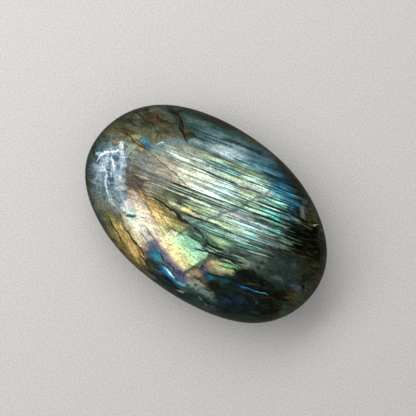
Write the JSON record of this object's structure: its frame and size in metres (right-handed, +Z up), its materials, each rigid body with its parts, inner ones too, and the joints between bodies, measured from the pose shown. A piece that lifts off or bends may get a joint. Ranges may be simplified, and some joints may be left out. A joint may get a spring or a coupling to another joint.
{
  "type": "labradorite palm stone",
  "caption": "Polished oval labradorite palm stone, domed above and below, with a small resting flat; dark grey-green feldspar with a striped blue, green and gold flash.",
  "frame": {"origin": "middle of the stone's footprint, on the flat face that it rests on", "axes": "+X along the stone's length, towards its dark green end; +Y across it; +Z up through the top of the dome"},
  "size_m": [0.066, 0.0432, 0.02],
  "materials": {
    "labradorite": "polished to a gloss; dark grey-green body with fine dark lamellae and a blue, green, gold and pearl flash"
  },
  "bodies": {
    "root": {"palm_stone": "labradorite"}
  },
  "joints": []
}
